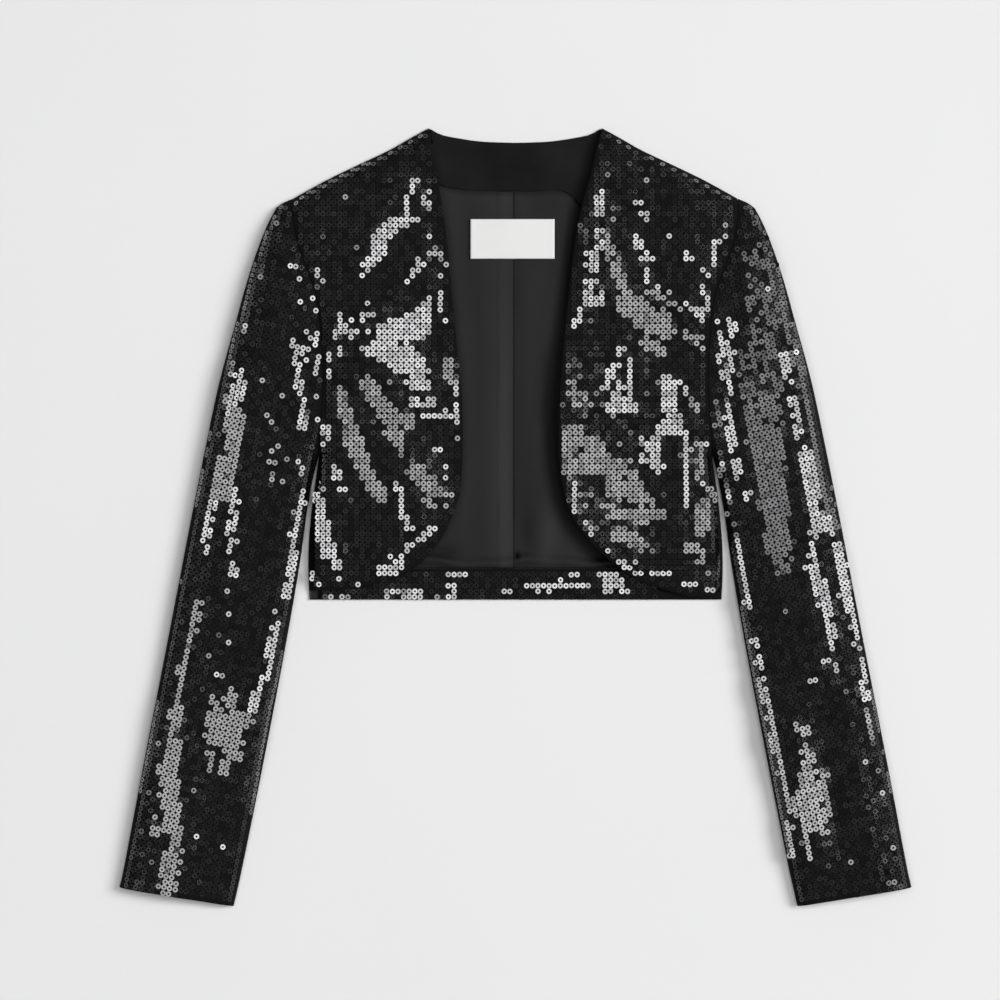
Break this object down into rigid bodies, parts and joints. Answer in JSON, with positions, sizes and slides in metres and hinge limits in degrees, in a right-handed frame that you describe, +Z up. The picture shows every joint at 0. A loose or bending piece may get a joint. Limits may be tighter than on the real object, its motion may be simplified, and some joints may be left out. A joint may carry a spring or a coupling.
{
  "type": "bolero jacket",
  "caption": "Cropped long-sleeved bolero jacket in black sequined cloth, laid flat, with open curved fronts, satin back lining, neck facing and a bare label.",
  "frame": {"origin": "centre of the jacket's plan, on the surface it lies on", "axes": "+Y towards the neck, +X towards the wearer's left, +Z up from the surface, out of the fronts"},
  "size_m": [0.6966, 0.684, 0.0274],
  "materials": {
    "sequined_cloth": "all-over black gloss sequins",
    "black_facing": "matt crepe",
    "satin_lining": "satin",
    "woven_label": "woven, bare"
  },
  "bodies": {
    "root": {"back": "sequined_cloth", "front_left": "sequined_cloth", "front_right": "sequined_cloth", "sleeve_top_left": "sequined_cloth", "sleeve_top_right": "sequined_cloth", "sleeve_under_left": "sequined_cloth", "sleeve_under_right": "sequined_cloth", "hem_facing": "sequined_cloth", "neck_facing": "black_facing", "lining_back_left": "satin_lining", "lining_back_right": "satin_lining", "label": "woven_label"}
  },
  "joints": []
}
